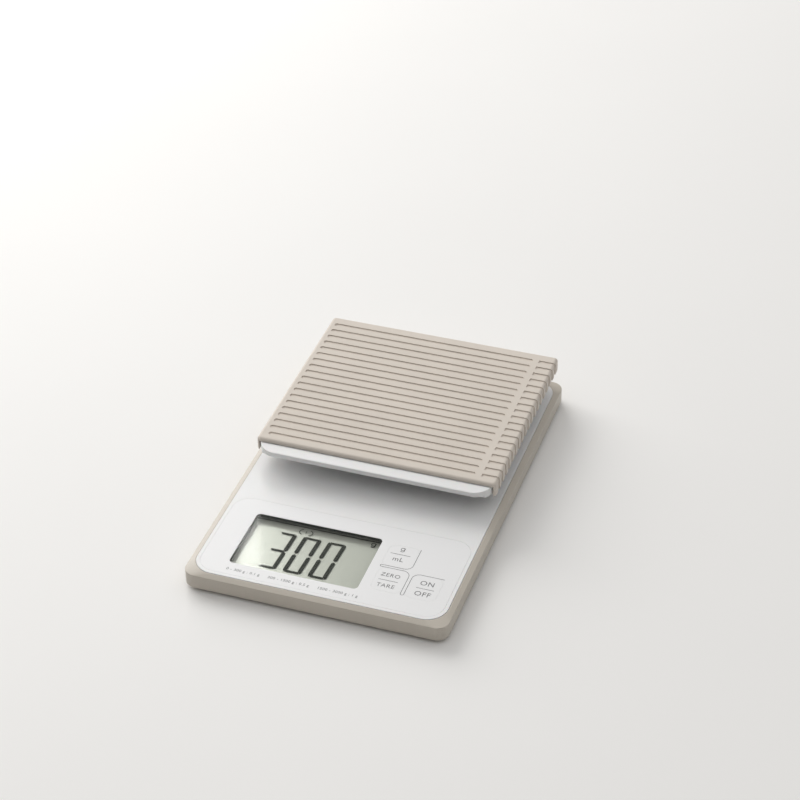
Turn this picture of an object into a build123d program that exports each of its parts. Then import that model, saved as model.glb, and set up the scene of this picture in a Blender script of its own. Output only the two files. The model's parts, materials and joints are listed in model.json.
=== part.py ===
from build123d import *
import os

# Flat digital kitchen scale, in millimetres.
# X is the width, the front edge (display and keys) faces -Y, +Z is up.
# The origin is on the table, under the middle of the case.

# Case
CASE_WIDTH = 149.0
CASE_DEPTH = 228.0
CASE_CORNER_R = 7.0
CASE_WALL = 2.0
UNDERSIDE_Z = 2.0
FLOOR_TOP_Z = 3.8
CASE_EDGE_Z = 10.8
RIM_TOP_Z = 11.9
RIM_FLAT = 0.4
LEDGE_Z = 9.2

# White top cover
COVER_WIDTH = 142.2
COVER_DEPTH = 221.2
COVER_CORNER_R = 12.0
COVER_UNDER_Z = 10.4
COVER_TOP_Z = 12.2
COVER_GAP = 0.15
PLINTH_WIDTH = 100.0
PLINTH_DEPTH = 96.0
PLINTH_Y = 52.0
PLINTH_TOP_Z = 18.0
PLINTH_WALL = 1.8

# Overlay film with the display window
FILM_WIDTH = 137.8
FILM_DEPTH = 63.8
FILM_Y = -76.5
FILM_CORNER_R = 10.0
FILM_UNDER_Z = 11.9
FILM_GAP = 0.1
WINDOW_WIDTH = 73.3
WINDOW_DEPTH = 43.3
WINDOW_X = -16.55
WINDOW_Y = -77.35
WINDOW_CORNER_R = 2.5

# Display stack and circuit board
BOARD_X = 0.5
BOARD_Y = -73.25
BOARD_WIDTH = 116.0
BOARD_DEPTH = 56.5
BOARD_UNDER_Z = 5.0
BOARD_TOP_Z = 6.2
REAR_GLASS_UNDER_Z = 7.1
FRONT_GLASS_UNDER_Z = 8.2
FRONT_GLASS_TOP_Z = 9.2
GLASS_WIDTH = 79.0
GLASS_DEPTH = 48.3
ZEBRA_WIDTH = 1.8
BEZEL_WALL = 1.0
BOARD_SCREW_PLACES = [(-54.0, -48.0), (54.0, -48.0), (0.0, -48.0), (29.0, -98.6)]

# Keys: centre and size of each key plate
KEY_PLACES = {
    "unit": (33.95, -66.8, 17.1, 17.6),
    "tare": (34.45, -86.65, 17.1, 18.7),
    "power": (53.7, -87.05, 17.2, 18.7),
}
KEY_CORNER_R = 4.0
KEY_GAP = 0.06
KEY_TRAVEL = 0.3
KEY_UNDER_Z = 11.5
KEY_POCKET_Z = 11.1
STEM_SIZE = 8.0
STEM_HOLE = 8.6
COLLAR_SIZE = 11.0
COLLAR_UNDER_Z = 9.2
COLLAR_TOP_Z = 10.0
SWITCH_SIZE = 6.0
SWITCH_TOP_Z = 8.6
SWITCH_BORE_Z = 7.1
PLUNGER_R = 1.6
PLUNGER_CLEARANCE = 0.05
PLUNGER_UNDER_Z = 7.6

# Load cell
CELL_WIDTH = 12.0
CELL_LENGTH = 64.0
CELL_Y = 46.0
CELL_UNDER_Z = 5.2
CELL_TOP_Z = 14.2
CELL_HOLE_R = 3.2
CELL_HOLE_SPACING = 12.0
CELL_PAD_Z = 4.4
CELL_BASE_SCREW_Y = [65.0, 74.0]
CELL_POST_SCREW_Y = [18.0, 27.0]
BASE_SCREW_R = 1.95
POST_SCREW_R = 1.45

# Platform: spider, tray and soft cover
SPIDER_UNDER_Z = 22.9
SPIDER_TOP_Z = 25.4
SPIDER_ARM_X = 40.0
SPIDER_ARM_Y = [16.0, 84.0]
STUD_TOP_Z = 22.2
POST_WIDTH = 12.0
POST_DEPTH = 18.0
POST_Y = 22.5
TRAY_HALF_WIDTH = 68.6
TRAY_FRONT_Y = -16.6
TRAY_BACK_Y = 112.3
TRAY_BOTTOM_Z = 22.3
TRAY_TOP_Z = 27.5
LIP_FRONT_Y = -20.5
LIP_TOP_Z = 27.0
LIP_BOTTOM_Z = 23.9
LIP_SEAM_WIDTH = 0.7
LIP_SEAM_UNDERCUT = 0.5
LIP_SEAM_DEPTH = 0.9
TRAY_FRONT_CORNER_R = 12.0
TRAY_BACK_CORNER_R = 2.5
TRAY_WALL = 2.0
COAT_HALF_WIDTH = 70.5
COAT_FRONT_Y = -12.9
COAT_BACK_Y = 113.9
COAT_TOP_Z = 29.5
COAT_SKIRT_Z = 21.5
COAT_CORNER_R = 2.4
COAT_EDGE_R = 2.0
COAT_GAP = 0.1
COAT_SIDE_GAP = 0.4
GROOVE_PITCH = 6.25
GROOVE_WIDTH = 2.8
GROOVE_DEPTH = 0.6
GROOVE_COUNT = 19
FIRST_GROOVE_BACK_Y = -5.25
LONG_GROOVE_X = (-66.8, 56.8)
FIRST_GROOVE_START_X = -65.2
SHORT_GROOVE_X = 60.5

# Battery bay and its door
BAY_X = 32.0
BAY_Y = 49.0
BAY_WIDTH = 24.0
BAY_LENGTH = 51.0
BAY_WALL = 3.0
BAY_CEILING_Z = 14.9
BAY_ROOF_Z = 16.0
DOOR_WIDTH = 27.6
DOOR_LENGTH = 54.6
DOOR_GAP = 0.2
DOOR_TOP_Z = 3.4
DOOR_SEAT_Z = 3.5
TAB_WIDTH = 5.0
TAB_X = 7.5
TAB_REACH = 2.2
CELL_R = 5.1
CELL_BODY_LENGTH = 43.5
NUB_R = 1.9
NUB_LENGTH = 1.0
BATTERY_X = BAY_X - 5.6
BATTERY_Z = 9.0
SPRING_LENGTH = 4.3
CONTACT_THICKNESS = 0.4
CONTACT_DEPTH = 0.6
BAY_FRONT_Y = BAY_Y - BAY_LENGTH / 2
BAY_BACK_Y = BAY_Y + BAY_LENGTH / 2

# Feet, screws and label
FOOT_R = 6.0
FOOT_TOP_Z = 2.6
FOOT_PLACES = [(-54.0, -96.0), (54.0, -96.0), (-54.0, 96.0), (54.0, 96.0)]
CASE_SCREW_PLACES = [
    (-64.0, -103.0), (64.0, -103.0), (-64.0, 0.0),
    (64.0, 0.0), (-64.0, 103.0), (64.0, 103.0),
]
CASE_BOSS_R = 5.0
CASE_BOSS_TOP_Z = 5.6
LABEL_WIDTH = 46.0
LABEL_DEPTH = 26.0
LABEL_X = -38.0
LABEL_Y = 52.0
LABEL_THICKNESS = 0.2
OVERSHOOT = 1.0


def slab(width, depth, low, high, x=0.0, y=0.0, corner=0.0):
    """Upright block, centred on (x, y), with rounded vertical edges."""
    outline = RectangleRounded(width, depth, corner) if corner else Rectangle(width, depth)
    return Pos(x, y, low) * extrude(outline, high - low)


def rod(radius, low, high, x=0.0, y=0.0):
    """Upright cylinder."""
    return Pos(x, y, low) * extrude(Circle(radius), high - low)


def rod_along_y(radius, start, end, x, z):
    """Cylinder lying along Y."""
    return Pos(x, start, z) * Rot(-90, 0, 0) * extrude(Circle(radius), end - start)


def span_box(x_range, y_range, z_range):
    """Block between two corners."""
    size = [high - low for low, high in (x_range, y_range, z_range)]
    return Pos(x_range[0], y_range[0], z_range[0]) * Box(*size, align=(Align.MIN, Align.MIN, Align.MIN))


def tube(points, bend_radius, radius):
    """Round lead along straight runs joined by tangent arcs."""
    path = FilletPolyline(*points, radius=bend_radius)
    section = Plane(origin=path @ 0, z_dir=path % 0) * Circle(radius)
    return sweep(section, path=path)


def group(solids):
    """Several separate solids kept in one node."""
    return Compound(children=list(solids))


def screw(x, y, seat, tip, shaft_r, head_r, head_height):
    """Cross-recess pan head screw driven upwards: its head sits below seat."""
    body = rod(head_r, seat - head_height, seat, x, y) + rod(shaft_r, seat, tip, x, y)
    for width, depth in ((head_r * 1.1, 0.5), (0.5, head_r * 1.1)):
        body -= slab(width, depth, seat - head_height - OVERSHOOT, seat - head_height / 2, x, y)
    return body


# Base

def case_shell():
    """Lower case without its inner features: a tray with a rim that slopes up to the cover."""
    body = slab(CASE_WIDTH, CASE_DEPTH, UNDERSIDE_Z, CASE_EDGE_Z, corner=CASE_CORNER_R)
    body = fillet(body.edges().group_by(Axis.Z)[0], 0.8)
    outer = Pos(0, 0, CASE_EDGE_Z) * RectangleRounded(CASE_WIDTH, CASE_DEPTH, CASE_CORNER_R)
    flat = 2 * (COVER_GAP + RIM_FLAT)
    inner = RectangleRounded(COVER_WIDTH + flat, COVER_DEPTH + flat, COVER_CORNER_R + flat / 2)
    body += loft([outer, Pos(0, 0, RIM_TOP_Z) * inner], ruled=True)
    ring_edges = body.edges().filter_by(lambda edge: abs(edge.center().Z - CASE_EDGE_Z) < 0.01)
    body = fillet(ring_edges, 0.35)
    gap = 2 * COVER_GAP
    body -= slab(COVER_WIDTH + gap, COVER_DEPTH + gap, COVER_UNDER_Z, RIM_TOP_Z + OVERSHOOT,
                 corner=COVER_CORNER_R + COVER_GAP)
    body -= slab(COVER_WIDTH - 3.8, COVER_DEPTH - 3.8, LEDGE_Z - 0.1, COVER_UNDER_Z + 0.1, corner=10.0)
    body -= slab(CASE_WIDTH - 2 * CASE_WALL, CASE_DEPTH - 2 * CASE_WALL, FLOOR_TOP_Z, LEDGE_Z,
                 corner=CASE_CORNER_R - CASE_WALL)
    return body


def base_housing():
    body = case_shell()
    # Battery bay, open downwards
    body += slab(BAY_WIDTH + 2 * BAY_WALL, BAY_LENGTH + 2 * BAY_WALL, UNDERSIDE_Z, BAY_ROOF_Z, BAY_X, BAY_Y,
                 corner=1.5)
    body -= slab(BAY_WIDTH, BAY_LENGTH, UNDERSIDE_Z - OVERSHOOT, BAY_CEILING_Z, BAY_X, BAY_Y, corner=1.0)
    body -= slab(DOOR_WIDTH + 2 * DOOR_GAP, DOOR_LENGTH + 2 * DOOR_GAP, UNDERSIDE_Z - OVERSHOOT, DOOR_SEAT_Z,
                 BAY_X, BAY_Y, corner=2.0)
    for side in (-1, 1):
        body -= slab(TAB_WIDTH + 0.6, BAY_WALL + 2.0, FLOOR_TOP_Z, 6.4, BAY_X + side * TAB_X,
                     BAY_BACK_Y + 1.5)
        body -= slab(TAB_WIDTH + 0.6, 2.2, DOOR_SEAT_Z - 0.1, FLOOR_TOP_Z + 0.1, BAY_X + side * TAB_X,
                     BAY_BACK_Y + 0.9)
    body -= slab(9.0, 2.4, DOOR_SEAT_Z - 0.1, 7.0, BAY_X, BAY_FRONT_Y - 0.8)
    # Finger scoop in front of the door
    body -= Pos(BAY_X, BAY_FRONT_Y - 2.0, UNDERSIDE_Z - 6.2) * Rot(0, 90, 0) * Cylinder(7.0, 16.0)
    # Pad for the fixed end of the load cell
    pad_y = sum(CELL_BASE_SCREW_Y) / 2
    body += slab(18.0, 20.0, UNDERSIDE_Z, CELL_PAD_Z, 0, pad_y, corner=2.0)
    for y in CELL_BASE_SCREW_Y:
        body -= rod(3.8, UNDERSIDE_Z - OVERSHOOT, 3.5, 0, y)
        body -= rod(2.1, UNDERSIDE_Z, CELL_PAD_Z + OVERSHOOT, 0, y)
    # Screw bosses, foot recesses and the label recess
    for x, y in CASE_SCREW_PLACES:
        body += rod(CASE_BOSS_R, UNDERSIDE_Z, CASE_BOSS_TOP_Z, x, y)
        body -= rod(3.2, UNDERSIDE_Z - OVERSHOOT, 4.4, x, y)
        body -= rod(1.6, UNDERSIDE_Z, CASE_BOSS_TOP_Z + OVERSHOOT, x, y)
    for x, y in FOOT_PLACES:
        body -= rod(FOOT_R + 0.1, UNDERSIDE_Z - OVERSHOOT, FOOT_TOP_Z, x, y)
    body -= slab(LABEL_WIDTH + 0.4, LABEL_DEPTH + 0.4, UNDERSIDE_Z - OVERSHOOT,
                 UNDERSIDE_Z + LABEL_THICKNESS, LABEL_X, LABEL_Y, corner=2.2)
    return body


def top_cover():
    body = slab(COVER_WIDTH, COVER_DEPTH, COVER_UNDER_Z, COVER_TOP_Z, corner=COVER_CORNER_R)
    body = fillet(body.edges().group_by(Axis.Z)[-1], 0.3)
    # Locating rib that drops inside the case ledge
    rib = slab(COVER_WIDTH - 4.2, COVER_DEPTH - 4.2, 8.2, COVER_UNDER_Z, corner=9.8)
    rib -= slab(COVER_WIDTH - 7.2, COVER_DEPTH - 7.2, 8.2 - OVERSHOOT, COVER_UNDER_Z, corner=8.3)
    body += rib
    # Hollow plinth over the load cell and batteries
    plinth = slab(PLINTH_WIDTH, PLINTH_DEPTH, COVER_TOP_Z - 0.5, PLINTH_TOP_Z, 0, PLINTH_Y, corner=8.0)
    plinth = fillet(plinth.edges().group_by(Axis.Z)[-1], 1.0)
    body += plinth
    body -= slab(PLINTH_WIDTH - 2 * PLINTH_WALL, PLINTH_DEPTH - 2 * PLINTH_WALL, COVER_UNDER_Z - OVERSHOOT,
                 PLINTH_TOP_Z - PLINTH_WALL, 0, PLINTH_Y, corner=6.2)
    body -= slab(POST_WIDTH + 4, POST_DEPTH + 4, PLINTH_TOP_Z - PLINTH_WALL - OVERSHOOT,
                 PLINTH_TOP_Z + OVERSHOOT, 0, POST_Y, corner=2.0)
    for x in (-SPIDER_ARM_X, SPIDER_ARM_X):
        for y in SPIDER_ARM_Y:
            body -= rod(2.05, PLINTH_TOP_Z - PLINTH_WALL - OVERSHOOT, PLINTH_TOP_Z + OVERSHOOT, x, y)
    # Film recess, display aperture and key pockets
    body -= slab(FILM_WIDTH + 2 * FILM_GAP, FILM_DEPTH + 2 * FILM_GAP, FILM_UNDER_Z, COVER_TOP_Z + OVERSHOOT,
                 0, FILM_Y, corner=FILM_CORNER_R + FILM_GAP)
    aperture = 2 * (BEZEL_WALL + 0.1)
    body -= slab(WINDOW_WIDTH + aperture, WINDOW_DEPTH + aperture, COVER_UNDER_Z - OVERSHOOT, COVER_TOP_Z,
                 WINDOW_X, WINDOW_Y, corner=WINDOW_CORNER_R + aperture / 2)
    for x, y, width, depth in KEY_PLACES.values():
        body -= slab(width + 0.4, depth + 0.4, KEY_POCKET_Z, COVER_TOP_Z, x, y, corner=KEY_CORNER_R + 0.2)
        body -= slab(STEM_HOLE, STEM_HOLE, COVER_UNDER_Z - OVERSHOOT, COVER_TOP_Z, x, y, corner=1.0)
    # Bosses for the case screws and the board screws
    for x, y in CASE_SCREW_PLACES:
        body += rod(3.0, CASE_BOSS_TOP_Z, COVER_UNDER_Z + 0.2, x, y)
        body -= rod(1.45, CASE_BOSS_TOP_Z - OVERSHOOT, COVER_UNDER_Z - 0.2, x, y)
    for x, y in BOARD_SCREW_PLACES:
        body += rod(2.3, BOARD_TOP_Z, COVER_UNDER_Z + 0.2, x, y)
        body -= rod(0.95, BOARD_TOP_Z - OVERSHOOT, COVER_UNDER_Z - 0.8, x, y)
    return body


def overlay_film():
    body = slab(FILM_WIDTH, FILM_DEPTH, FILM_UNDER_Z, COVER_TOP_Z, 0, FILM_Y, corner=FILM_CORNER_R)
    body -= slab(WINDOW_WIDTH, WINDOW_DEPTH, FILM_UNDER_Z - OVERSHOOT, COVER_TOP_Z + OVERSHOOT,
                 WINDOW_X, WINDOW_Y, corner=WINDOW_CORNER_R)
    for x, y, width, depth in KEY_PLACES.values():
        body -= slab(width + 2 * KEY_GAP, depth + 2 * KEY_GAP, FILM_UNDER_Z - OVERSHOOT,
                     COVER_TOP_Z + OVERSHOOT, x, y, corner=KEY_CORNER_R + KEY_GAP)
    return body


def display_window():
    return slab(WINDOW_WIDTH, WINDOW_DEPTH, FILM_UNDER_Z, COVER_TOP_Z, WINDOW_X, WINDOW_Y,
                corner=WINDOW_CORNER_R)


def display_bezel():
    """Dark frame: a flange on the display glass and a wall up to the window."""
    body = slab(WINDOW_WIDTH + 8.7, WINDOW_DEPTH + 8.0, FRONT_GLASS_TOP_Z, COVER_UNDER_Z, WINDOW_X, WINDOW_Y,
                corner=2.0)
    wall = 2 * BEZEL_WALL
    body += slab(WINDOW_WIDTH + wall, WINDOW_DEPTH + wall, COVER_UNDER_Z, FILM_UNDER_Z, WINDOW_X, WINDOW_Y,
                 corner=WINDOW_CORNER_R + BEZEL_WALL)
    body -= slab(WINDOW_WIDTH, WINDOW_DEPTH, FRONT_GLASS_TOP_Z - OVERSHOOT, FILM_UNDER_Z + OVERSHOOT,
                 WINDOW_X, WINDOW_Y, corner=WINDOW_CORNER_R)
    return body


def lcd_front_glass():
    return slab(GLASS_WIDTH, GLASS_DEPTH, FRONT_GLASS_UNDER_Z, FRONT_GLASS_TOP_Z, WINDOW_X, WINDOW_Y)


def lcd_rear_glass():
    """Back plate with its reflector: narrower, to leave the contact ledges free."""
    depth = GLASS_DEPTH - 2 * (ZEBRA_WIDTH + 0.2)
    return slab(GLASS_WIDTH, depth, REAR_GLASS_UNDER_Z, FRONT_GLASS_UNDER_Z, WINDOW_X, WINDOW_Y)


def zebra_strips():
    """Two conductive rubber strips between the board and the display's ledges."""
    offset = (GLASS_DEPTH - ZEBRA_WIDTH) / 2
    return group(slab(GLASS_WIDTH - 6, ZEBRA_WIDTH, BOARD_TOP_Z, FRONT_GLASS_UNDER_Z, WINDOW_X,
                      WINDOW_Y + side * offset) for side in (-1, 1))


def main_board():
    body = slab(BOARD_WIDTH, BOARD_DEPTH, BOARD_UNDER_Z, BOARD_TOP_Z, BOARD_X, BOARD_Y, corner=1.0)
    for x, y in BOARD_SCREW_PLACES:
        body -= rod(1.1, BOARD_UNDER_Z - OVERSHOOT, BOARD_TOP_Z + OVERSHOOT, x, y)
    return body


def board_screws():
    return group(screw(x, y, BOARD_UNDER_Z, 9.0, 0.9, 1.8, 0.9) for x, y in BOARD_SCREW_PLACES)


def controller_chip():
    """Flat chip package with a row of leads on each side."""
    body = slab(10.0, 10.0, BOARD_TOP_Z + 0.1, BOARD_TOP_Z + 0.8, -20.0, -77.0, corner=0.4)
    for step in range(8):
        offset = (step - 3.5) * 1.1
        body += slab(12.0, 0.4, BOARD_TOP_Z, BOARD_TOP_Z + 0.3, -20.0, -77.0 + offset)
    return body


def amplifier_chip():
    body = slab(4.0, 8.0, BOARD_TOP_Z + 0.2, BOARD_TOP_Z + 1.5, 12.0, -48.6, corner=0.2)
    for step in range(6):
        body += slab(6.0, 0.4, BOARD_TOP_Z, BOARD_TOP_Z + 0.4, 12.0, -48.6 + (step - 2.5) * 1.27)
    return body


def capacitors():
    return group(rod(1.6, BOARD_TOP_Z, BOARD_TOP_Z + 2.8, x, -47.8) for x in (-30.0, -24.0, -18.0))


def switch_housings():
    bodies = []
    for x, y, _, _ in KEY_PLACES.values():
        body = slab(SWITCH_SIZE, SWITCH_SIZE, BOARD_TOP_Z, SWITCH_TOP_Z, x, y, corner=0.4)
        body -= rod(PLUNGER_R + PLUNGER_CLEARANCE, SWITCH_BORE_Z, SWITCH_TOP_Z + OVERSHOOT, x, y)
        bodies.append(body)
    return group(bodies)


def key(name):
    """Key plate flush with the film, with a stem and a collar that keeps it in."""
    x, y, width, depth = KEY_PLACES[name]
    body = slab(width, depth, KEY_UNDER_Z, COVER_TOP_Z, x, y, corner=KEY_CORNER_R)
    body += slab(STEM_SIZE, STEM_SIZE, COLLAR_UNDER_Z, KEY_UNDER_Z, x, y, corner=0.8)
    body += slab(COLLAR_SIZE, COLLAR_SIZE, COLLAR_UNDER_Z, COLLAR_TOP_Z, x, y, corner=0.8)
    return body


def switch_plunger(name):
    x, y, _, _ = KEY_PLACES[name]
    return rod(PLUNGER_R, PLUNGER_UNDER_Z, COLLAR_UNDER_Z, x, y)


# Load cell

def load_cell_beam():
    """Aluminium bending beam, thinned over two joined cross bores."""
    body = slab(CELL_WIDTH, CELL_LENGTH, CELL_UNDER_Z, CELL_TOP_Z, 0, CELL_Y)
    middle = (CELL_UNDER_Z + CELL_TOP_Z) / 2
    for side in (-1, 1):
        y = CELL_Y + side * CELL_HOLE_SPACING / 2
        body -= Pos(0, y, middle) * Rot(0, 90, 0) * Cylinder(CELL_HOLE_R, CELL_WIDTH + 2 * OVERSHOOT)
    slot = CELL_HOLE_SPACING / 2
    body -= span_box((-CELL_WIDTH, CELL_WIDTH), (CELL_Y - slot, CELL_Y + slot), (middle - 1.2, middle + 1.2))
    for y in CELL_BASE_SCREW_Y:
        body -= rod(BASE_SCREW_R + 0.05, CELL_UNDER_Z - OVERSHOOT, CELL_TOP_Z - 1.5, 0, y)
    for y in CELL_POST_SCREW_Y:
        body -= rod(POST_SCREW_R + 0.05, CELL_UNDER_Z + 1.5, CELL_TOP_Z + OVERSHOOT, 0, y)
    return body


def strain_gauges():
    """Four foil gauges over and under the thin sections."""
    places = [(CELL_Y + side * CELL_HOLE_SPACING / 2) for side in (-1, 1)]
    above = [slab(5.0, 4.0, CELL_TOP_Z, CELL_TOP_Z + 0.3, 0, y) for y in places]
    below = [slab(5.0, 4.0, CELL_UNDER_Z - 0.3, CELL_UNDER_Z, 0, y) for y in places]
    return group(above + below)


def cell_spacer():
    body = slab(14.0, 17.0, CELL_PAD_Z, CELL_UNDER_Z, 0, sum(CELL_BASE_SCREW_Y) / 2)
    for y in CELL_BASE_SCREW_Y:
        body -= rod(2.1, CELL_PAD_Z - OVERSHOOT, CELL_UNDER_Z + OVERSHOOT, 0, y)
    return body


def cell_base_screws():
    return group(screw(0, y, 3.5, 11.0, BASE_SCREW_R, 3.5, 1.2) for y in CELL_BASE_SCREW_Y)


def cell_post_screws():
    """Screws driven down through the spider: the upward screw turned over."""
    middle = SPIDER_TOP_Z - 1.4
    turned = Pos(0, 0, middle) * Rot(0, 180, 0) * Pos(0, 0, -middle)
    return group(turned * screw(0, y, middle, middle + 16.0, POST_SCREW_R, 2.6, 1.3)
                 for y in CELL_POST_SCREW_Y)


def overload_stops():
    """Four studs in the plinth that stop the spider before the cell is overloaded."""
    studs = []
    for x in (-SPIDER_ARM_X, SPIDER_ARM_X):
        for y in SPIDER_ARM_Y:
            stud = rod(2.0, PLINTH_TOP_Z - PLINTH_WALL, STUD_TOP_Z, x, y)
            stud += rod(3.0, PLINTH_TOP_Z, PLINTH_TOP_Z + 1.0, x, y)
            studs.append(stud)
    return group(studs)


# Platform

def platform_spider():
    """Stiff bracket: a spine, two cross arms and the post that stands on the load cell."""
    body = slab(30.0, 82.0, SPIDER_UNDER_Z, SPIDER_TOP_Z, 0, 50.0, corner=3.0)
    for y in SPIDER_ARM_Y:
        body += slab(2 * SPIDER_ARM_X + 16, 14.0, SPIDER_UNDER_Z, SPIDER_TOP_Z, 0, y, corner=4.0)
    body -= slab(14.0, 34.0, SPIDER_UNDER_Z - OVERSHOOT, SPIDER_TOP_Z + OVERSHOOT, 0, 56.0, corner=3.0)
    for x in (-12.0, 12.0):
        body += slab(2.0, 60.0, SPIDER_UNDER_Z - 1.8, SPIDER_UNDER_Z, x, 50.0)
    body += slab(POST_WIDTH, POST_DEPTH, CELL_TOP_Z, SPIDER_UNDER_Z, 0, POST_Y, corner=1.0)
    for y in CELL_POST_SCREW_Y:
        body -= rod(2.8, SPIDER_TOP_Z - 1.4, SPIDER_TOP_Z + OVERSHOOT, 0, y)
        body -= rod(1.6, CELL_TOP_Z - OVERSHOOT, SPIDER_TOP_Z + OVERSHOOT, 0, y)
    for x in (-SPIDER_ARM_X, SPIDER_ARM_X):
        for y in SPIDER_ARM_Y:
            body -= rod(1.25, SPIDER_UNDER_Z + 0.4, SPIDER_TOP_Z + OVERSHOOT, x, y)
    return body


def tray_outline():
    """Side view of the tray in the YZ plane: a flat top that runs out into a thin front lip."""
    seam_back = COAT_FRONT_Y + LIP_SEAM_UNDERCUT
    seam_front = COAT_FRONT_Y - LIP_SEAM_WIDTH
    seam_z = TRAY_TOP_Z - LIP_SEAM_DEPTH
    corners = [
        (TRAY_FRONT_Y, TRAY_BOTTOM_Z), (TRAY_BACK_Y, TRAY_BOTTOM_Z), (TRAY_BACK_Y, TRAY_TOP_Z),
        (seam_back, TRAY_TOP_Z), (seam_back, seam_z), (seam_front, seam_z), (seam_front, TRAY_TOP_Z - 0.1),
        (LIP_FRONT_Y, LIP_TOP_Z), (LIP_FRONT_Y + 0.2, LIP_BOTTOM_Z), (TRAY_FRONT_Y, LIP_BOTTOM_Z),
    ]
    face = Plane.YZ * make_face(Polyline(*corners, close=True))
    nose = [vertex for vertex in face.vertices() if vertex.Y < LIP_FRONT_Y + 0.3]
    return fillet(nose, 0.6)


def tray_plan():
    """Upright block in the tray's plan: wide round corners in front, tight ones at the back."""
    body = span_box((-TRAY_HALF_WIDTH, TRAY_HALF_WIDTH), (LIP_FRONT_Y, TRAY_BACK_Y),
                    (TRAY_BOTTOM_Z - OVERSHOOT, TRAY_TOP_Z + OVERSHOOT))
    upright = body.edges().filter_by(Axis.Z).sort_by(Axis.Y)
    body = fillet(upright[:2], TRAY_FRONT_CORNER_R)
    upright = body.edges().filter_by(Axis.Z).sort_by(Axis.Y)
    return fillet(upright[-2:], TRAY_BACK_CORNER_R)


def platform_tray():
    body = extrude(tray_outline(), TRAY_HALF_WIDTH, both=True)
    body &= tray_plan()
    inner_depth = TRAY_BACK_Y - TRAY_FRONT_Y - 2 * TRAY_WALL
    inner_y = (TRAY_BACK_Y + TRAY_FRONT_Y) / 2
    inner_width = 2 * (TRAY_HALF_WIDTH - TRAY_WALL)
    body -= slab(inner_width, inner_depth, TRAY_BOTTOM_Z - OVERSHOOT, SPIDER_TOP_Z, 0, inner_y, corner=4.0)
    # Stiffening rib outside the spider
    rib_under = TRAY_BOTTOM_Z + 1.0
    rib_top = SPIDER_TOP_Z
    rib = slab(inner_width - 14, inner_depth - 12, rib_under, rib_top, 0, inner_y, corner=4.0)
    rib -= slab(inner_width - 17, inner_depth - 15, rib_under - OVERSHOOT, rib_top, 0, inner_y, corner=3.0)
    body += rib
    for x in (-SPIDER_ARM_X, SPIDER_ARM_X):
        for y in SPIDER_ARM_Y:
            body -= rod(3.0, TRAY_TOP_Z - 1.2, TRAY_TOP_Z + OVERSHOOT, x, y)
            body -= rod(1.5, SPIDER_TOP_Z - OVERSHOOT, TRAY_TOP_Z, x, y)
    return body


def tray_screws():
    """Screws through the tray into the spider's arms: the upward screw turned over."""
    seat = TRAY_TOP_Z - 1.2
    turned = Pos(0, 0, seat) * Rot(0, 180, 0) * Pos(0, 0, -seat)
    places = [(x, y) for x in (-SPIDER_ARM_X, SPIDER_ARM_X) for y in SPIDER_ARM_Y]
    return group(turned * screw(x, y, seat, seat + 2.9, 1.2, 2.8, 1.1) for x, y in places)


def coat_block():
    """The soft cover's outer shape as a solid block with round top edges."""
    body = span_box((-COAT_HALF_WIDTH, COAT_HALF_WIDTH), (COAT_FRONT_Y, COAT_BACK_Y),
                    (COAT_SKIRT_Z, COAT_TOP_Z))
    body = fillet(body.edges().filter_by(Axis.Z), COAT_CORNER_R)
    return fillet(body.edges().group_by(Axis.Z)[-1], COAT_EDGE_R)


def coat_core():
    """Block that the grooves at the sides reach down to: the outer shape less the groove depth."""
    half = COAT_HALF_WIDTH - GROOVE_DEPTH
    body = span_box((-half, half), (COAT_FRONT_Y - OVERSHOOT, COAT_BACK_Y + OVERSHOOT),
                    (COAT_SKIRT_Z - 2 * OVERSHOOT, COAT_TOP_Z - GROOVE_DEPTH))
    top_sides = body.edges().group_by(Axis.Z)[-1].filter_by(Axis.Y)
    return fillet(top_sides, COAT_EDGE_R - GROOVE_DEPTH)


def silicone_cover():
    """Soft cover: a grooved sheet with skirts at the sides and the back, open at the front."""
    body = coat_block()
    depth = COAT_BACK_Y - COAT_FRONT_Y
    cavity = 2 * (TRAY_HALF_WIDTH + COAT_SIDE_GAP)
    body -= slab(cavity, 2 * depth, COAT_SKIRT_Z - OVERSHOOT, TRAY_TOP_Z, 0,
                 TRAY_BACK_Y + COAT_GAP - depth, corner=TRAY_BACK_CORNER_R)
    core = coat_core()
    beyond = COAT_HALF_WIDTH + OVERSHOOT
    below = COAT_SKIRT_Z - OVERSHOOT
    long_start, long_end = LONG_GROOVE_X
    for index in range(GROOVE_COUNT):
        back = FIRST_GROOVE_BACK_Y + index * GROOVE_PITCH
        y_range = (back - GROOVE_WIDTH, back)
        start = long_start if index else FIRST_GROOVE_START_X
        body -= slab(long_end - start, GROOVE_WIDTH, COAT_TOP_Z - GROOVE_DEPTH, COAT_TOP_Z + OVERSHOOT,
                     (start + long_end) / 2, back - GROOVE_WIDTH / 2, corner=1.2)
        right = span_box((SHORT_GROOVE_X, beyond), y_range, (below, COAT_TOP_Z + OVERSHOOT))
        body -= right - core
        left = span_box((-beyond, -SHORT_GROOVE_X), y_range, (below, COAT_TOP_Z - COAT_EDGE_R - 0.5))
        body -= left - core
    return body


# Batteries, door and wiring

def both_ways(solids):
    """The left-hand battery's pieces and the same pieces turned round for the right-hand battery."""
    turn = Pos(BAY_X, BAY_Y, 0) * Rot(0, 0, 180) * Pos(-BAY_X, -BAY_Y, 0)
    return group(solids + [turn * solid for solid in solids])


def batteries():
    """Two cells side by side, the second turned round."""
    flat_end = BAY_FRONT_Y + CONTACT_DEPTH + SPRING_LENGTH
    nub_root = flat_end + CELL_BODY_LENGTH
    cell = rod_along_y(CELL_R, flat_end, nub_root, BATTERY_X, BATTERY_Z)
    cell += rod_along_y(NUB_R, nub_root, nub_root + NUB_LENGTH, BATTERY_X, BATTERY_Z)
    return both_ways([cell])


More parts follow.
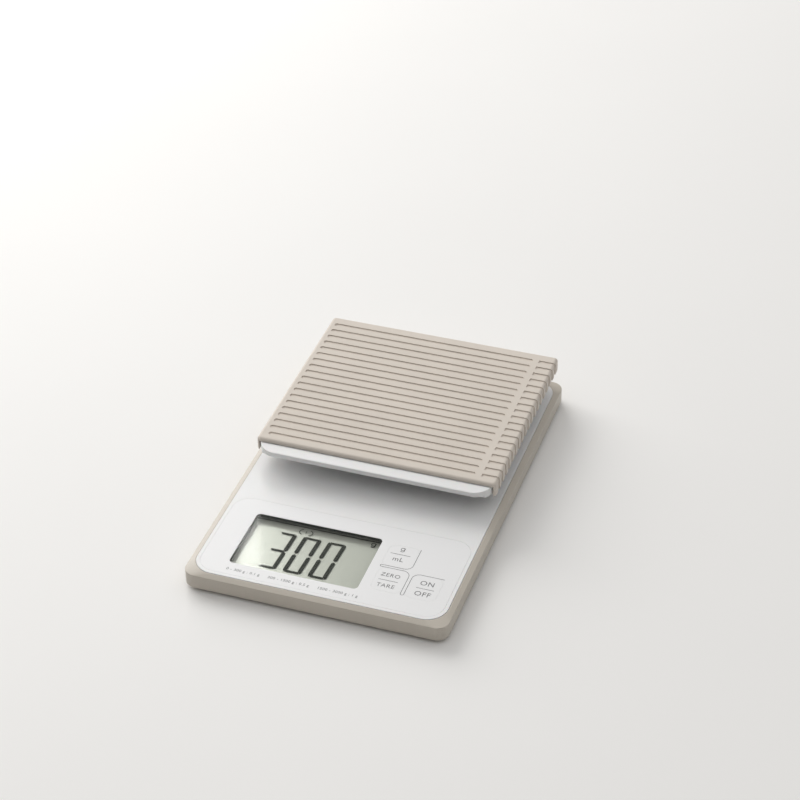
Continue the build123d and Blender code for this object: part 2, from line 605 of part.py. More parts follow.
def battery_springs():
    """A coil spring at the flat end of each battery."""
    path = Helix(pitch=1.25, height=3.5, radius=2.6)
    coil = sweep(Plane(origin=path @ 0, z_dir=path % 0) * Circle(0.3), path=path)
    return both_ways([Pos(BATTERY_X, BAY_FRONT_Y + CONTACT_DEPTH + 0.35, BATTERY_Z) * Rot(-90, 0, 0) * coil])


def battery_contacts():
    """Spring-steel plates at both ends of the bay, with a bump for each battery's nub."""
    x_range = (BATTERY_X - 4, BATTERY_X + 4)
    z_range = (5.8, 13.0)
    front = BAY_FRONT_Y + CONTACT_DEPTH
    back = BAY_BACK_Y - CONTACT_DEPTH
    spring_plate = span_box(x_range, (front - CONTACT_THICKNESS, front), z_range)
    nub_plate = span_box(x_range, (back, back + CONTACT_THICKNESS), z_range)
    nub_plate += rod_along_y(2.0, back - 1.0, back, BATTERY_X, BATTERY_Z)
    return both_ways([spring_plate, nub_plate])


def battery_cover():
    """Door in the case floor: plate, two hinge tabs at the back and a thumb tongue in front."""
    body = slab(DOOR_WIDTH, DOOR_LENGTH, UNDERSIDE_Z, DOOR_TOP_Z, BAY_X, BAY_Y, corner=1.8)
    door_back = BAY_Y + DOOR_LENGTH / 2
    door_front = BAY_Y - DOOR_LENGTH / 2
    for side in (-1, 1):
        x_range = (BAY_X + side * TAB_X - TAB_WIDTH / 2, BAY_X + side * TAB_X + TAB_WIDTH / 2)
        body += span_box(x_range, (door_back - 1.6, door_back), (DOOR_TOP_Z - 0.2, 5.3))
        body += span_box(x_range, (door_back - 1.6, door_back + TAB_REACH), (4.1, 5.3))
    body += slab(7.0, 1.2, DOOR_TOP_Z - 0.2, 6.4, BAY_X, door_front + 1.2)
    for step in range(5):
        y = door_front + 4 + 2 * step
        body -= slab(12.0, 0.8, UNDERSIDE_Z - OVERSHOOT, UNDERSIDE_Z + 0.35, BAY_X, y)
    return body


def load_cell_cable():
    """Four-core lead from the board to the side of the load cell."""
    points = [(20.0, -50.0, 7.0), (20.0, -22.0, 7.0), (-14.0, -6.0, 7.0), (-14.0, 34.0, 7.0),
              (-6.8, 46.0, 7.0)]
    return tube(points, 6.0, 0.8)


def battery_leads():
    """Two single leads from the board to the front wall of the bay."""
    wall = BAY_FRONT_Y - BAY_WALL
    leads = []
    for offset in (0.0, 2.4):
        points = [(34.0 + offset, -50.0, 6.8), (34.0 + offset, -14.0, 6.8),
                  (28.0 + offset, 2.0, 6.8), (28.0 + offset, wall, 6.8)]
        leads.append(tube(points, 8.0, 0.6))
    return group(leads)


# Underside pieces

def rubber_feet():
    feet = []
    for x, y in FOOT_PLACES:
        foot = rod(FOOT_R, 0.0, FOOT_TOP_Z, x, y)
        feet.append(fillet(foot.edges().group_by(Axis.Z)[0], 0.6))
    return group(feet)


def case_screws():
    return group(screw(x, y, 4.4, 9.9, 1.4, 2.7, 1.4) for x, y in CASE_SCREW_PLACES)


def underside_label():
    return slab(LABEL_WIDTH, LABEL_DEPTH, UNDERSIDE_Z, UNDERSIDE_Z + LABEL_THICKNESS, LABEL_X, LABEL_Y,
                corner=2.0)


NODES = {
    "base_housing": base_housing,
    "top_cover": top_cover,
    "overlay_film": overlay_film,
    "display_window": display_window,
    "display_bezel": display_bezel,
    "lcd_front_glass": lcd_front_glass,
    "lcd_rear_glass": lcd_rear_glass,
    "zebra_strips": zebra_strips,
    "main_board": main_board,
    "board_screws": board_screws,
    "controller_chip": controller_chip,
    "amplifier_chip": amplifier_chip,
    "capacitors": capacitors,
    "switch_housings": switch_housings,
    "load_cell_beam": load_cell_beam,
    "strain_gauges": strain_gauges,
    "cell_spacer": cell_spacer,
    "cell_base_screws": cell_base_screws,
    "cell_post_screws": cell_post_screws,
    "overload_stops": overload_stops,
    "platform_spider": platform_spider,
    "platform_tray": platform_tray,
    "tray_screws": tray_screws,
    "silicone_cover": silicone_cover,
    "batteries": batteries,
    "battery_springs": battery_springs,
    "battery_contacts": battery_contacts,
    "battery_cover": battery_cover,
    "load_cell_cable": load_cell_cable,
    "battery_leads": battery_leads,
    "rubber_feet": rubber_feet,
    "case_screws": case_screws,
    "underside_label": underside_label,
}

os.makedirs("parts", exist_ok=True)
for node, make in NODES.items():
    export_step(make(), f"parts/{node}.step")
for name in KEY_PLACES:
    export_step(key(name), f"parts/{name}_key.step")
    export_step(switch_plunger(name), f"parts/{name}_switch_plunger.step")
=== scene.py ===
import bmesh
import bpy
import json
import math
from mathutils import Matrix, Vector


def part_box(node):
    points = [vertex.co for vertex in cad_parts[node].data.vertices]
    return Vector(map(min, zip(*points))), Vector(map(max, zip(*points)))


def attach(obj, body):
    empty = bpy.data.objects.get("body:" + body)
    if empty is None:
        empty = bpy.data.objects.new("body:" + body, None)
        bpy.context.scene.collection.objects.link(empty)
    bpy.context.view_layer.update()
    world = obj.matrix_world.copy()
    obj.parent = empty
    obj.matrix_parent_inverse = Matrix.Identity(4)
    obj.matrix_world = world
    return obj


# The scale's looks: materials for every CAD piece, the digits, the printed legends, light and camera.
# Lengths are in metres, and MM turns millimetres into metres. Angles are in degrees until they are used.

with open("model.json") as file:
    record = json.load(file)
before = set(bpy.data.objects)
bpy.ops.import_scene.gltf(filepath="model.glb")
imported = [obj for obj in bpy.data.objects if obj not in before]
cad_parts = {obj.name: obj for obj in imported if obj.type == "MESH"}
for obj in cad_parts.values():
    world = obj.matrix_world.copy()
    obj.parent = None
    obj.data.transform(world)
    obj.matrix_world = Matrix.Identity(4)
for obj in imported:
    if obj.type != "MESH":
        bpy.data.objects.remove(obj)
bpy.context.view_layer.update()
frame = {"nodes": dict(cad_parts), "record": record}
MM = 0.001
NODES = frame["nodes"]

# Camera at the photograph's viewing angle, lens and sensor in millimetres
CAMERA_PLACE = (352.03 * MM, -963.68 * MM, 819.97 * MM)
CAMERA_TILT = 53.551
CAMERA_TURN = 19.474
CAMERA_ROLL = -1.005
CAMERA_LENS = 104.25
SENSOR_WIDTH = 36.0

# Surroundings: SKY_SPAN is where they fade from the horizon's strength to the sky's, by cosine to the axis
SKY_COLOR = (1.0, 0.995, 0.985)
SKY_AXIS = (0.05, 0.10, 1.0)
SKY_STRENGTH = 0.71
HORIZON_STRENGTH = 0.02
SKY_SPAN = (0.12, 0.80)

# Lamps: both stand upright and have the same height
LAMP_HEIGHT = 1.7
KEY_PLACE = (-1.35, 0.945, 1.12)
KEY_TURN = -132.5
KEY_WIDTH = 1.7
KEY_WATTS = 34.0
KEY_COLOR = (1.0, 0.99, 0.97)
STRIP_PLACE = (-0.655, 1.255, 1.12)
STRIP_TURN = -152.0
STRIP_WIDTH = 0.03
STRIP_WATTS = 1.5
STRIP_COLOR = (1.0, 1.0, 1.0)

# Floor
FLOOR_COLOR = (0.93, 0.922, 0.91)
FLOOR_HALF_SIDE = 4.0
FLOOR_CELLS = 8

# Digits: sizes are between the middles of the strokes, and the slant is the shift in x for each unit of y
DIGITS = "300"
DIGIT_PITCH = 14.35 * MM
DIGIT_WIDTH = 8.2 * MM
DIGIT_HEIGHT = 28.9 * MM
DIGIT_SLANT = 0.045
LAST_DIGIT_X = -4.5 * MM
DIGIT_MIDDLE_Y = -77.9 * MM
UPRIGHT_STROKE = 2.35 * MM
BAR_STROKE = 1.45 * MM
SEGMENT_GAP = 0.42 * MM
SEGMENT_CORNER = 1.1 * MM
SEGMENT_WAIST = 1.3 * MM
LIT_SEGMENTS = {"0": "abcdef", "3": "abgcd"}

# Small marks on the display
UNIT_MARK_PLACE = (15.0 * MM, -57.6 * MM)
UNIT_MARK_SIZE = 2.3 * MM
UNIT_MARK_STROKE = 0.5 * MM
RANGE_MARK_PLACE = (-23.6 * MM, -59.1 * MM)
RANGE_MARK_SIZE = 3.2 * MM
BRACKET_MIDDLE = (-23.6 * MM, -59.2 * MM)
BRACKET_RADIUS = 1.9 * MM
BRACKET_STROKE = 0.45 * MM

# Ink: DISPLAY_LIFT is from the front glass's underside, PRINT_LIFT from the film's top
INK_THICKNESS = 0.03 * MM
DISPLAY_LIFT = 0.3 * MM
PRINT_LIFT = 0.02 * MM
LINE_WIDTH = 0.28 * MM
WORD_SPACING = 1.1

# Line of ranges under the window
RANGE_WORDS = "0 - 300 g : 0.1 g     300 - 1500 g : 0.5 g     1500 - 3000 g : 1 g"
RANGE_X = -14.8 * MM
RANGE_BELOW_WINDOW = 5.2 * MM
RANGE_TEXT_SIZE = 2.7 * MM

# Lines between the keys
KEY_LINE_TURN = 4.0 * MM
KEY_LINE_CLEARANCE = 0.1 * MM
KEY_LINE_FOOT = 1.0 * MM

# Words on the keys: the unit key's upper word is the drawn letter g
KEY_WORDS = {"unit": (None, "mL"), "tare": ("ZERO", "TARE"), "power": ("ON", "OFF")}
KEY_G_SIZE = 2.1 * MM
KEY_G_STROKE = 0.36 * MM
KEY_G_RISE = 0.4
# In millimetres: x, then y of the upper word, the bar and the lower word, the bar's half length, text size
KEY_PRINT = {
    "unit": (33.0, -61.0, -65.1, -69.3, 5.6, 4.7),
    "tare": (33.6, -83.0, -87.2, -91.6, 5.4, 4.0),
    "power": (54.4, -83.6, -87.8, -92.2, 5.0, 4.9),
}


# Materials

NOISE_SPAN = (0.3, 0.7)
MOTTLE_DETAIL = 4.0
FINE_GRAIN = 3500.0


class Shader:
    """A node material with one Principled shader and short calls to add to it."""

    def __init__(self, name):
        self.material = bpy.data.materials.new(name)
        self.material.use_nodes = True
        self.tree = self.material.node_tree
        self.surface = self.tree.nodes["Principled BSDF"]
        self.output = self.tree.nodes["Material Output"]
        self.place = self.add("ShaderNodeTexCoord").outputs["Object"]

    def add(self, kind, **settings):
        node = self.tree.nodes.new(kind)
        for key, value in settings.items():
            setattr(node, key, value)
        return node

    def link(self, source, target):
        self.tree.links.new(source, target)

    def set(self, **values):
        for name, value in values.items():
            self.surface.inputs[name.replace("_", " ")].default_value = value
        return self

    def noise(self, scale, detail, roughness=0.5):
        node = self.add("ShaderNodeTexNoise")
        node.inputs["Scale"].default_value = scale
        node.inputs["Detail"].default_value = detail
        node.inputs["Roughness"].default_value = roughness
        self.link(self.place, node.inputs["Vector"])
        return node.outputs["Fac"]

    def ramp(self, factor, stops):
        node = self.add("ShaderNodeValToRGB")
        ramp = node.color_ramp
        while len(ramp.elements) < len(stops):
            ramp.elements.new(0.5)
        for element, (position, color) in zip(ramp.elements, stops):
            element.position = position
            element.color = (*color, 1.0)
        self.link(factor, node.inputs["Fac"])
        return node.outputs["Color"]

    def blotches(self, scale, detail, first, second):
        """Soft patches that run from one colour to another."""
        return self.ramp(self.noise(scale, detail), list(zip(NOISE_SPAN, (first, second))))

    def mottle(self, color, scale, spread):
        """Base colour that wanders a little about one colour."""
        dark = tuple(channel * (1 - spread) for channel in color)
        light = tuple(min(1.0, channel * (1 + spread)) for channel in color)
        self.link(self.blotches(scale, MOTTLE_DETAIL, dark, light), self.surface.inputs["Base Color"])
        return self

    def vary_roughness(self, low, high, scale):
        shade = self.blotches(scale, 3.0, (low,) * 3, (high,) * 3)
        self.link(shade, self.surface.inputs["Roughness"])
        return self

    def bump(self, height, distance, strength=1.0):
        node = self.add("ShaderNodeBump")
        node.inputs["Strength"].default_value = strength
        node.inputs["Distance"].default_value = distance
        self.link(height, node.inputs["Height"])
        self.link(node.outputs["Normal"], self.surface.inputs["Normal"])
        return self


def plastic(name, color, roughness, grain=FINE_GRAIN, grain_depth=0.012 * MM, mottle=0.02,
            unevenness=0.05, **more):
    """Moulded plastic: slight colour drift, uneven gloss and, unless grain_depth is 0, a fine grain."""
    shader = Shader(name)
    shader.mottle(color, 60.0, mottle)
    shader.vary_roughness(roughness - unevenness, roughness + unevenness, 180.0)
    if grain_depth:
        shader.bump(shader.noise(grain, 2.0), grain_depth)
    return shader.set(**more).material


def metal(name, color, roughness):
    """Metal with fine drawn lines along X."""
    line_scale = (40.0, 900.0, 900.0)
    unevenness = 0.06
    shader = Shader(name)
    stretch = shader.add("ShaderNodeMapping")
    stretch.inputs["Scale"].default_value = line_scale
    shader.link(shader.place, stretch.inputs["Vector"])
    lines = shader.add("ShaderNodeTexNoise")
    lines.inputs["Scale"].default_value = 1.0
    lines.inputs["Detail"].default_value = 4.0
    shader.link(stretch.outputs["Vector"], lines.inputs["Vector"])
    shader.bump(lines.outputs["Fac"], 0.01 * MM)
    shader.mottle(color, 150.0, 0.05)
    shader.vary_roughness(roughness - unevenness, roughness + unevenness, 300.0)
    return shader.set(Metallic=1.0).material


def clear_pane(name, tint, gloss, polish):
    """Thin clear pane: what lies behind shows unbent, and gloss is the share mirrored square on."""
    grazing_power = 5.0
    shader = Shader(name)
    through = shader.add("ShaderNodeBsdfTransparent")
    through.inputs["Color"].default_value = (*tint, 1.0)
    mirror = shader.add("ShaderNodeBsdfAnisotropic")
    mirror.inputs["Roughness"].default_value = polish
    mirror.inputs["Color"].default_value = (1.0, 1.0, 1.0, 1.0)
    facing = shader.add("ShaderNodeLayerWeight")
    facing.inputs["Blend"].default_value = 0.5
    grazing = shader.add("ShaderNodeMath", operation="POWER")
    grazing.inputs[1].default_value = grazing_power
    shader.link(facing.outputs["Facing"], grazing.inputs[0])
    share = shader.add("ShaderNodeMath", operation="ADD", use_clamp=True)
    share.inputs[1].default_value = gloss
    shader.link(grazing.outputs["Value"], share.inputs[0])
    mix = shader.add("ShaderNodeMixShader")
    shader.link(share.outputs["Value"], mix.inputs["Fac"])
    shader.link(through.outputs["BSDF"], mix.inputs[1])
    shader.link(mirror.outputs["BSDF"], mix.inputs[2])
    shader.link(mix.outputs["Shader"], shader.output.inputs["Surface"])
    shader.tree.nodes.remove(shader.surface)
    return shader.material


def silicone():
    """Matt silicone rubber: dusty sheen and a soft, slightly uneven skin."""
    shader = Shader("taupe_silicone")
    shader.mottle((0.69, 0.625, 0.555), 35.0, 0.025)
    shader.vary_roughness(0.62, 0.76, 240.0)
    shader.bump(shader.noise(2600.0, 3.0, 0.6), 0.02 * MM)
    return shader.set(Sheen_Weight=0.25, Sheen_Roughness=0.5).material


def board():
    """Green solder mask over faint copper tracks."""
    mask = (0.010, 0.115, 0.045)
    lighter_mask = (0.014, 0.150, 0.060)
    track = (0.030, 0.220, 0.090)
    shader = Shader("board_green")
    bricks = shader.add("ShaderNodeTexBrick")
    for socket, color in (("Color1", mask), ("Color2", lighter_mask), ("Mortar", track)):
        bricks.inputs[socket].default_value = (*color, 1.0)
    bricks.inputs["Scale"].default_value = 220.0
    bricks.inputs["Mortar Size"].default_value = 0.05
    shader.link(shader.place, bricks.inputs["Vector"])
    shader.link(bricks.outputs["Color"], shader.surface.inputs["Base Color"])
    shader.bump(bricks.outputs["Fac"], 0.02 * MM)
    return shader.set(Roughness=0.35, Coat_Weight=0.4).material


def reflector():
    """Grey-green reflective backing of the display, with a faint polariser grain."""
    shader = Shader("lcd_reflector")
    shader.mottle((0.565, 0.568, 0.54), 25.0, 0.02)
    shader.bump(shader.noise(900.0, 2.0), 0.001 * MM)
    return shader.set(Metallic=0.17, Roughness=0.19, Specular_IOR_Level=0.3).material


def bezel_with_painted_shade():
    """Dark frame round the display with painted shade: nearly black at the film, paler where it meets the
    glass, a height gradient standing in for the soft shadow the window's recess throws.
    """
    at_glass = (0.20, 0.205, 0.19)
    halfway = (0.055, 0.057, 0.052)
    at_film = (0.012, 0.013, 0.012)
    shader = Shader("dark_bezel_painted_shade")
    height = shader.add("ShaderNodeSeparateXYZ")
    shader.link(shader.place, height.inputs["Vector"])
    share = shader.add("ShaderNodeMapRange")
    share.inputs["From Min"].default_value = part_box("lcd_front_glass")[1].z
    share.inputs["From Max"].default_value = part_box("display_bezel")[1].z
    shader.link(height.outputs["Z"], share.inputs["Value"])
    # Painted shade: the colour darkens with height from the glass up to the film, in place of the recess's
    # shadow.
    shade = shader.ramp(share.outputs["Result"], [(0.0, at_glass), (0.55, halfway), (1.0, at_film)])
    shader.link(shade, shader.surface.inputs["Base Color"])
    shader.bump(shader.noise(FINE_GRAIN, 2.0), 0.01 * MM)
    return shader.set(Roughness=0.6, Specular_IOR_Level=0.2).material


def battery_jacket():
    """Plain blue-grey battery sleeve under a clear coat."""
    shader = Shader("battery_jacket")
    shader.mottle((0.09, 0.12, 0.16), 90.0, 0.08)
    shader.vary_roughness(0.22, 0.34, 300.0)
    return shader.set(Metallic=0.6, Coat_Weight=0.5).material


def floor_material():
    """Pale, nearly even studio floor."""
    shader = Shader("studio_floor")
    shader.mottle(FLOOR_COLOR, 4.0, 0.008)
    shader.bump(shader.noise(900.0, 2.0), 0.05 * MM, 0.2)
    return shader.set(Roughness=0.6, Specular_IOR_Level=0.3).material


INK = plastic("print_ink", (0.16, 0.16, 0.165), 0.5, mottle=0.06)
DIGIT_INK = plastic("lcd_digit", (0.052, 0.055, 0.050), 0.7, mottle=0.04, Specular_IOR_Level=0.05)

SLOT_MATERIALS = {
    "case_taupe": plastic("case_taupe", (0.59, 0.542, 0.472), 0.38, grain=2800.0, grain_depth=0.02 * MM),
    "white_plastic": plastic("white_plastic", (0.85, 0.85, 0.85), 0.34, mottle=0.006,
                             Subsurface_Weight=0.05, Subsurface_Scale=0.5 * MM),
    "white_film": plastic("white_film", (0.85, 0.85, 0.855), 0.32, grain_depth=0.0, mottle=0.003,
                          unevenness=0.01),
    "clear_window": clear_pane("clear_window", (0.99, 0.995, 0.985), gloss=0.002, polish=0.05),
    "lcd_glass": clear_pane("lcd_glass", (0.985, 0.99, 0.98), gloss=0.0, polish=0.10),
    "lcd_reflector": reflector(),
    "dark_plastic": plastic("dark_plastic", (0.025, 0.026, 0.026), 0.45, mottle=0.1),
    "grey_rubber": plastic("grey_rubber", (0.085, 0.082, 0.078), 0.75, grain=2000.0,
                           grain_depth=0.04 * MM, mottle=0.1),
    "taupe_silicone": silicone(),
    "board_green": board(),
    "gauge_foil": plastic("gauge_foil", (0.55, 0.30, 0.07), 0.35, mottle=0.1, Coat_Weight=0.5),
    "bare_aluminium": metal("bare_aluminium", (0.72, 0.73, 0.74), 0.34),
    "screw_steel": metal("screw_steel", (0.56, 0.56, 0.57), 0.28),
    "contact_nickel": metal("contact_nickel", (0.66, 0.63, 0.58), 0.20),
    "spider_plastic": plastic("spider_plastic", (0.66, 0.66, 0.64), 0.5, mottle=0.03),
    "battery_jacket": battery_jacket(),
    "cable_jacket": plastic("cable_jacket", (0.28, 0.28, 0.28), 0.45, mottle=0.05),
    "lead_red": plastic("lead_red", (0.45, 0.02, 0.015), 0.4, mottle=0.05),
    "blank_label": plastic("blank_label", (0.62, 0.62, 0.61), 0.4, mottle=0.015),
}


def dress_cad_nodes():
    """Gives each CAD node the material of its slot in the record, and the display's frame its own."""
    for entry in frame["record"]["subparts"]:
        node = NODES[entry["node"]]
        node.data.materials.clear()
        node.data.materials.append(SLOT_MATERIALS[entry["material_slot"]])
    NODES["display_bezel"].data.materials[0] = bezel_with_painted_shade()


# Mesh helpers

def add_object(name, data):
    thing = bpy.data.objects.new(name, data)
    bpy.context.scene.collection.objects.link(thing)
    return thing


def add_piece(name, mesh, material, body):
    """A piece of one material that rides on a body."""
    mesh.materials.append(material)
    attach(add_object(name, mesh), body)


def mesh_piece(name, build, material, body):
    """A piece whose mesh build fills through a bmesh."""
    mesh = bpy.data.meshes.new(name)
    shape = bmesh.new()
    build(shape)
    bmesh.ops.recalc_face_normals(shape, faces=shape.faces)
    shape.to_mesh(mesh)
    shape.free()
    add_piece(name, mesh, material, body)


def plate(shape, outline, low):
    """A closed flat plate of ink with the given (x, y) outline."""
    bottom = shape.faces.new([shape.verts.new((x, y, low)) for x, y in outline])
    raised = bmesh.ops.extrude_face_region(shape, geom=[bottom])
    moved = [item for item in raised["geom"] if isinstance(item, bmesh.types.BMVert)]
    bmesh.ops.translate(shape, verts=moved, vec=(0, 0, INK_THICKNESS))


def ribbon(shape, points, width, low):
    """An inked line of constant width along points, with square ends."""
    half = width / 2
    left = []
    right = []
    for index, point in enumerate(points):
        before = Vector(points[max(index - 1, 0)])
        after = Vector(points[min(index + 1, len(points) - 1)])
        along = (after - before).normalized()
        side = Vector((-along.y, along.x)) * half
        left.append(Vector(point) + side)
        right.append(Vector(point) - side)
    for index in range(len(points) - 1):
        outline = [left[index], left[index + 1], right[index + 1], right[index]]
        plate(shape, [tuple(corner) for corner in outline], low)


def arc(centre, radius, start, end, steps=10):
    """Points along an arc, angles in degrees."""
    angles = [math.radians(start + (end - start) * step / steps) for step in range(steps + 1)]
    return [(centre[0] + radius * math.cos(a), centre[1] + radius * math.sin(a)) for a in angles]


def legend(name, words, place, height, size, body, material=INK, spacing=WORD_SPACING):
    """Flat printed words, centred on place, turned into a thin mesh."""
    curve = bpy.data.curves.new(name, "FONT")
    curve.body = words
    curve.size = size
    curve.align_x = "CENTER"
    curve.align_y = "CENTER"
    curve.space_character = spacing
    curve.extrude = INK_THICKNESS / 2
    text = add_object(name + "_curve", curve)
    text.location = (*place, height)
    bpy.context.view_layer.update()
    mesh = bpy.data.meshes.new_from_object(text.evaluated_get(bpy.context.evaluated_depsgraph_get()))
    mesh.transform(text.matrix_world)
    bpy.data.objects.remove(text)
    mesh.name = name
    mesh.materials.clear()
    add_piece(name, mesh, material, body)


def gram_letter(name, place, height, size, stroke, body, material=INK):
    """A single-storey g drawn from a ring and a hooked stem, size being the ring's diameter."""
    x, y = place
    radius = size / 2
    ring = arc((x, y), radius, 0, 360, 24)
    stem = [(x + radius, y + radius), (x + radius, y - radius)]
    stem += arc((x, y - radius), radius, 0, -150, 12)

    def build(shape):
        ribbon(shape, ring, stroke, height)
        ribbon(shape, stem, stroke, height)

    mesh_piece(name, build, material, body)


# Display

def display_height():
    """Height of the digits' layer, which lies between the display's two glasses."""
    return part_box("lcd_front_glass")[0].z + DISPLAY_LIFT


def flip_y(outline):
    return [(x, -y) for x, y in outline]


def segment_outlines():
    """The seven segments of one digit about its middle, each as an (x, y) outline."""
    x = DIGIT_WIDTH / 2
    y = DIGIT_HEIGHT / 2
    wide = UPRIGHT_STROKE / 2
    thin = BAR_STROKE / 2
    gap = SEGMENT_GAP
    corner = SEGMENT_CORNER
    waist = SEGMENT_WAIST
    bar_end = x - wide + 2 * gap
    upright = [
        (x + wide, waist),
        (x + wide, y + thin - corner),
        (x + wide - 0.5 * corner, y + thin - 0.35 * corner),
        (x + 0.2 * wide, y + thin - 0.3 * corner),
        (x - wide, y - thin - gap),
        (x - wide, waist),
        (x, gap),
    ]
    bar = [
        (-x - 0.1 * wide, y + thin),
        (x + 0.1 * wide, y + thin),
        (bar_end - gap, y - thin),
        (-bar_end + gap, y - thin),
    ]
    middle = [
        (-x + gap, 0), (-bar_end, thin), (bar_end, thin),
        (x - gap, 0), (bar_end, -thin), (-bar_end, -thin),
    ]
    left_upright = [(-px, py) for px, py in upright]
    return {
        "a": bar, "d": flip_y(bar), "g": middle,
        "b": upright, "c": flip_y(upright),
        "f": left_upright, "e": flip_y(left_upright),
    }


def add_digits():
    outlines = segment_outlines()
    low = display_height()
    for index, figure in enumerate(DIGITS):
        middle = LAST_DIGIT_X - (len(DIGITS) - 1 - index) * DIGIT_PITCH

        def build(shape, middle=middle, figure=figure):
            for name in LIT_SEGMENTS[figure]:
                plate(shape, [(middle + px + DIGIT_SLANT * py, DIGIT_MIDDLE_Y + py)
                              for px, py in outlines[name]], low)

        mesh_piece(f"lcd_digit_{index + 1}", build, DIGIT_INK, "base")


def add_display_marks():
    """Small unit letter at the back right of the display, and a bracketed range mark over the digits."""
    height = display_height()
    gram_letter("lcd_unit_letter", UNIT_MARK_PLACE, height, UNIT_MARK_SIZE, UNIT_MARK_STROKE, "base",
                DIGIT_INK)
    legend("lcd_range_mark", "1", RANGE_MARK_PLACE, height, RANGE_MARK_SIZE, "base", DIGIT_INK, 1.0)
    x, y = BRACKET_MIDDLE

    def build(shape):
        for side, start in ((-1, 90), (1, -90)):
            centre = (x + side * BRACKET_RADIUS, y)
            ribbon(shape, arc(centre, BRACKET_RADIUS, start, start + 180, 12), BRACKET_STROKE, height)

    mesh_piece("lcd_range_bracket", build, DIGIT_INK, "base")


# Print on the film

def print_height():
    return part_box("overlay_film")[1].z + PRINT_LIFT


def add_key_outlines():
    """One thin printed line between the keys: a round-ended arm to the left and one to the front."""
    height = print_height()
    unit_low, unit_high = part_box("unit_key")
    tare_low, tare_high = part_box("tare_key")
    power_low, power_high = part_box("power_key")
    turn = KEY_LINE_TURN

    unit_right = unit_high.x + KEY_LINE_CLEARANCE
    unit_front = unit_low.y - KEY_LINE_CLEARANCE
    tare_right = tare_high.x + KEY_LINE_CLEARANCE
    tare_back = tare_high.y + KEY_LINE_CLEARANCE
    power_left = power_low.x - KEY_LINE_CLEARANCE
    power_back = power_high.y + KEY_LINE_CLEARANCE
    arm_end = unit_low.x + turn * 0.2
    arm_radius = (unit_front - tare_back) / 2
    foot_end = tare_low.y + KEY_LINE_FOOT
    foot_radius = (power_left - tare_right) / 2

    line = [(unit_right, unit_high.y)]
    line += arc((unit_right - turn, unit_front + turn), turn, 0, -90)
    line += [(arm_end, unit_front)]
    line += arc((arm_end, tare_back + arm_radius), arm_radius, 90, 270, 8)
    line += arc((tare_right - turn, tare_back - turn), turn, 90, 0)
    line += [(tare_right, foot_end)]
    line += arc((tare_right + foot_radius, foot_end), foot_radius, 180, 360, 8)
    line += arc((power_left + turn, power_back - turn), turn, 180, 90)
    line += [(power_high.x, power_back)]

    def build(shape):
        ribbon(shape, line, LINE_WIDTH, height)

    mesh_piece("key_outline_print", build, INK, "base")


def add_key_legends():
    """Two words and a bar between them on each key, riding on the key."""
    height = print_height()
    for key, (x, upper, line, lower, half, size) in KEY_PRINT.items():
        body = key + "_key"
        above, below = KEY_WORDS[key]
        if above:
            legend(f"{key}_legend_upper", above, (x * MM, upper * MM), height, size * MM, body)
        else:
            place = (x * MM, (upper + KEY_G_RISE) * MM)
            gram_letter(f"{key}_legend_upper", place, height, KEY_G_SIZE, KEY_G_STROKE, body)
        legend(f"{key}_legend_lower", below, (x * MM, lower * MM), height, size * MM, body)

        def build(shape, x=x, line=line, half=half):
            ends = [((x - half) * MM, line * MM), ((x + half) * MM, line * MM)]
            ribbon(shape, ends, LINE_WIDTH, height)

        mesh_piece(f"{key}_legend_bar", build, INK, body)


def add_range_print():
    """Small line of generic ranges under the window."""
    place = (RANGE_X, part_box("display_window")[0].y - RANGE_BELOW_WINDOW)
    legend("range_print", RANGE_WORDS, place, print_height(), RANGE_TEXT_SIZE, "base")


# Stage

def add_floor():
    mesh = bpy.data.meshes.new("studio_floor")
    shape = bmesh.new()
    bmesh.ops.create_grid(shape, x_segments=FLOOR_CELLS, y_segments=FLOOR_CELLS, size=FLOOR_HALF_SIDE)
    shape.to_mesh(mesh)
    shape.free()
    mesh.materials.append(floor_material())
    add_object("studio_floor", mesh)


def add_upright_lamp(name, place, turn, width, watts, color):
    lamp = bpy.data.lights.new(name, "AREA")
    lamp.shape = "RECTANGLE"
    lamp.size = width
    lamp.size_y = LAMP_HEIGHT
    lamp.energy = watts
    lamp.color = color
    holder = add_object(name, lamp)
    holder.location = place
    holder.rotation_euler = (math.radians(90), 0, math.radians(turn))


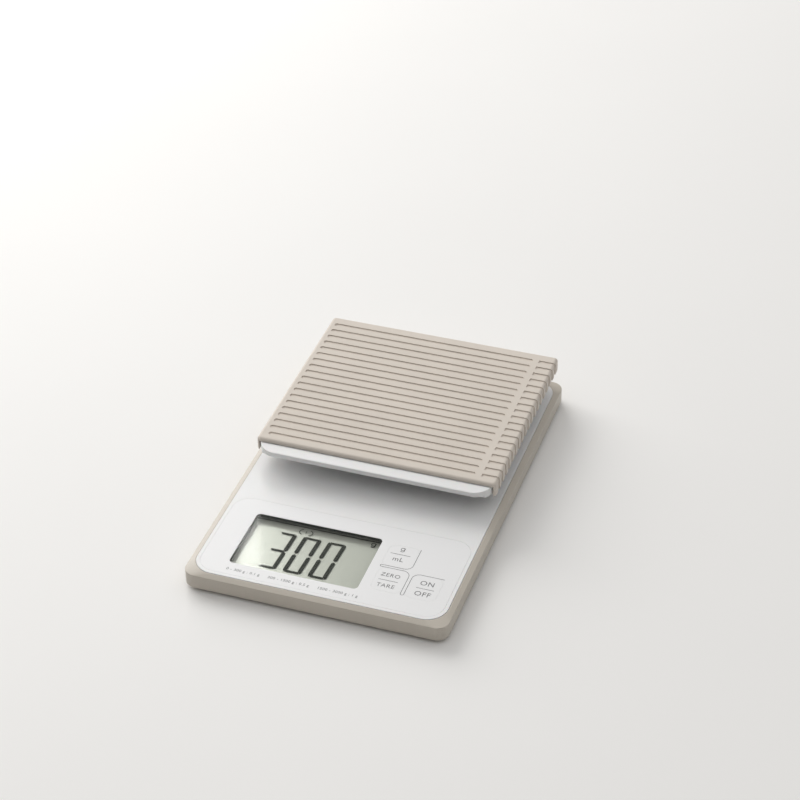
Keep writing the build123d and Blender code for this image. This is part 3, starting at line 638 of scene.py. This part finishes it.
def add_lamps():
    """Upright soft box at the back left, and a narrow strip seen as a bright band in the window."""
    add_upright_lamp("key_light", KEY_PLACE, KEY_TURN, KEY_WIDTH, KEY_WATTS, KEY_COLOR)
    add_upright_lamp("strip_light", STRIP_PLACE, STRIP_TURN, STRIP_WIDTH, STRIP_WATTS, STRIP_COLOR)


def add_world():
    """Soft surroundings, bright overhead and dim near the horizon."""
    world = bpy.data.worlds.new("studio")
    bpy.context.scene.world = world
    world.use_nodes = True
    tree = world.node_tree
    coordinates = tree.nodes.new("ShaderNodeTexCoord")
    toward = tree.nodes.new("ShaderNodeVectorMath")
    toward.operation = "DOT_PRODUCT"
    toward.inputs[1].default_value = Vector(SKY_AXIS).normalized()
    fade = tree.nodes.new("ShaderNodeMapRange")
    fade.interpolation_type = "SMOOTHSTEP"
    fade.inputs["From Min"].default_value = SKY_SPAN[0]
    fade.inputs["From Max"].default_value = SKY_SPAN[1]
    fade.inputs["To Min"].default_value = HORIZON_STRENGTH
    fade.inputs["To Max"].default_value = SKY_STRENGTH
    background = tree.nodes["Background"]
    background.inputs["Color"].default_value = (*SKY_COLOR, 1.0)
    tree.links.new(coordinates.outputs["Generated"], toward.inputs[0])
    tree.links.new(toward.outputs["Value"], fade.inputs["Value"])
    tree.links.new(fade.outputs["Result"], background.inputs["Strength"])


def add_camera():
    lens = bpy.data.cameras.new("camera")
    lens.sensor_width = SENSOR_WIDTH
    lens.lens = CAMERA_LENS
    camera = add_object("camera", lens)
    turn = Matrix.Rotation(math.radians(CAMERA_TURN), 4, "Z")
    tilt = Matrix.Rotation(math.radians(CAMERA_TILT), 4, "X")
    roll = Matrix.Rotation(math.radians(CAMERA_ROLL), 4, "Z")
    camera.matrix_world = Matrix.Translation(CAMERA_PLACE) @ turn @ tilt @ roll
    bpy.context.scene.camera = camera


dress_cad_nodes()
add_digits()
add_display_marks()
add_key_outlines()
add_key_legends()
add_range_print()
add_floor()
add_lamps()
add_world()
add_camera()
bpy.context.scene.view_settings.view_transform = "Standard"
